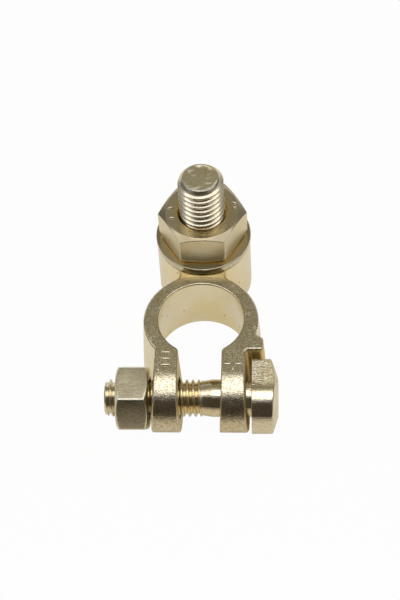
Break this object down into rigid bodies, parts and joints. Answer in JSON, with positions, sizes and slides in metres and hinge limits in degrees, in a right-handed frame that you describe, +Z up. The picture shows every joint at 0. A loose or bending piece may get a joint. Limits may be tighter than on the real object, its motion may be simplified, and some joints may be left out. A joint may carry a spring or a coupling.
{
  "type": "battery terminal clamp",
  "caption": "Cast split-ring battery terminal clamp, closed by a bolt across two ears, with an upright threaded stud, washer and nut on a round boss.",
  "frame": {"origin": "centre of the tapered post bore, on the flat underside of the casting", "axes": "+X along the clamp bolt with its head at +X, +Y from the ring towards the cable stud, +Z up along the bore and the stud"},
  "size_m": [0.0367, 0.0555, 0.0353],
  "materials": {
    "casting": "as cast, thinly plated, dull",
    "clamp_screw": "zinc plated, pale yellow passivated, satin",
    "stud_set": "zinc plated, pale yellow passivated, satin"
  },
  "bodies": {
    "casting": {"clamp_body": "casting", "stud": "stud_set"},
    "clamp_bolt": {"clamp_bolt": "clamp_screw"},
    "clamp_nut": {"clamp_nut": "clamp_screw"},
    "stud_washer": {"stud_washer": "stud_set"},
    "stud_nut": {"stud_nut": "stud_set"}
  },
  "joints": [
    {"name": "clamp_nut_turn", "type": "hinge", "parent": "casting", "child": "clamp_nut", "pos_m": [-0.0142, -0.0154, 0.0073], "axis": [-1, 0, 0], "range_deg": [-115, 2700]},
    {"name": "clamp_bolt_draw", "type": "slide", "parent": "casting", "child": "clamp_bolt", "axis": [1, 0, 0], "range_m": [-0.0004, 0.0094]},
    {"name": "stud_washer_lift", "type": "slide", "parent": "casting", "child": "stud_washer", "axis": [0, 0, 1], "range_m": [0, 0.0185]},
    {"name": "stud_nut_turn", "type": "hinge", "parent": "stud_washer", "child": "stud_nut", "pos_m": [0, 0.0221, 0.0207], "axis": [0, 0, 1], "range_deg": [0, 4440]}
  ],
  "couplings": [
    {"joint": "clamp_bolt_draw", "follows": "clamp_nut_turn", "m_per_rad": 0.00019894},
    {"joint": "stud_washer_lift", "follows": "stud_nut_turn", "m_per_rad": 0.00023873}
  ]
}
